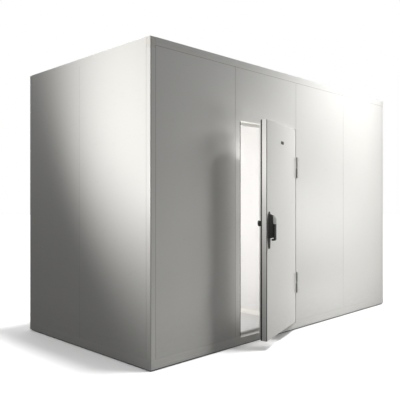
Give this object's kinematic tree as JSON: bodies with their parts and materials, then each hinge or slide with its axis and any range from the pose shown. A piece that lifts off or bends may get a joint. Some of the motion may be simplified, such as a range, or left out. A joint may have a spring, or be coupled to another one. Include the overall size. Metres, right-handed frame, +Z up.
{
  "type": "walk-in cold room",
  "caption": "Modular walk-in cold room of white insulated panels, with a hinged insulated door ajar, a partition and a lever handle.",
  "frame": {"origin": "middle of the underside, on the middle ground strip, under the walls' plan centre", "axes": "+X along the front from left to right, -Y towards the front with the door, +Z up"},
  "size_m": [3.7, 2.1346, 2.48],
  "materials": {
    "room_panels": "satin white pre-painted steel skin",
    "floor_panels": "grey hard-wearing floor finish on the panel",
    "profiles": "satin white folded steel",
    "corner_caps": "white moulded plastic",
    "ground_strips": "black plastic packing",
    "threshold": "brushed stainless steel",
    "coving": "white plastic coving",
    "hinges": "dark grey coated steel",
    "keeper": "brushed stainless steel",
    "door_leaf": "satin white pre-painted steel skin",
    "gasket": "black rubber",
    "handle_black": "black plastic",
    "lever": "black coated metal with a grey upper part",
    "badge": "plain dark oval plate"
  },
  "bodies": {
    "room": {"front_panel_1": "room_panels", "door_panel_latch_side": "room_panels", "door_panel_head": "room_panels", "door_panel_hinge_side": "room_panels", "front_panel_3": "room_panels", "front_panel_4": "room_panels", "back_panel_1": "room_panels", "back_panel_2": "room_panels", "back_panel_3": "room_panels", "back_panel_4": "room_panels", "left_panel_1": "room_panels", "left_panel_2": "room_panels", "right_panel_1": "room_panels", "right_panel_2": "room_panels", "partition_panel_1": "room_panels", "partition_panel_2": "room_panels", "ceiling_panel_1": "room_panels", "ceiling_panel_2": "room_panels", "ceiling_panel_3": "room_panels", "ceiling_panel_4": "room_panels", "floor_panel_1": "floor_panels", "floor_panel_2": "floor_panels", "floor_panel_3": "floor_panels", "floor_panel_4": "floor_panels", "corner_post_front_left": "profiles", "corner_post_front_right": "profiles", "corner_post_back_left": "profiles", "corner_post_back_right": "profiles", "roof_edges": "profiles", "base_rails": "profiles", "corner_caps": "corner_caps", "ground_strips": "ground_strips", "threshold_plate": "threshold", "cove_skirting": "coving", "hinge_wall_leaves": "hinges", "latch_keeper": "keeper"},
    "door": {"door_leaf": "door_leaf", "door_gasket": "gasket", "hinge_door_leaves": "hinges", "handle_plate": "handle_black", "blank_badge": "badge", "latch_block": "handle_black", "inner_release": "handle_black"},
    "lever": {"handle_lever": "lever"}
  },
  "joints": [
    {"name": "door_hinge", "type": "hinge", "parent": "room", "child": "door", "pos_m": [0, -0.927, 1.0265], "axis": [0, 0, 1], "range_deg": [-18, 147]},
    {"name": "handle_pivot", "type": "hinge", "parent": "door", "child": "lever", "pos_m": [-0.73873, -1.17754, 1.118], "axis": [-0.9511, -0.309, 0], "range_deg": [0, 35]}
  ]
}
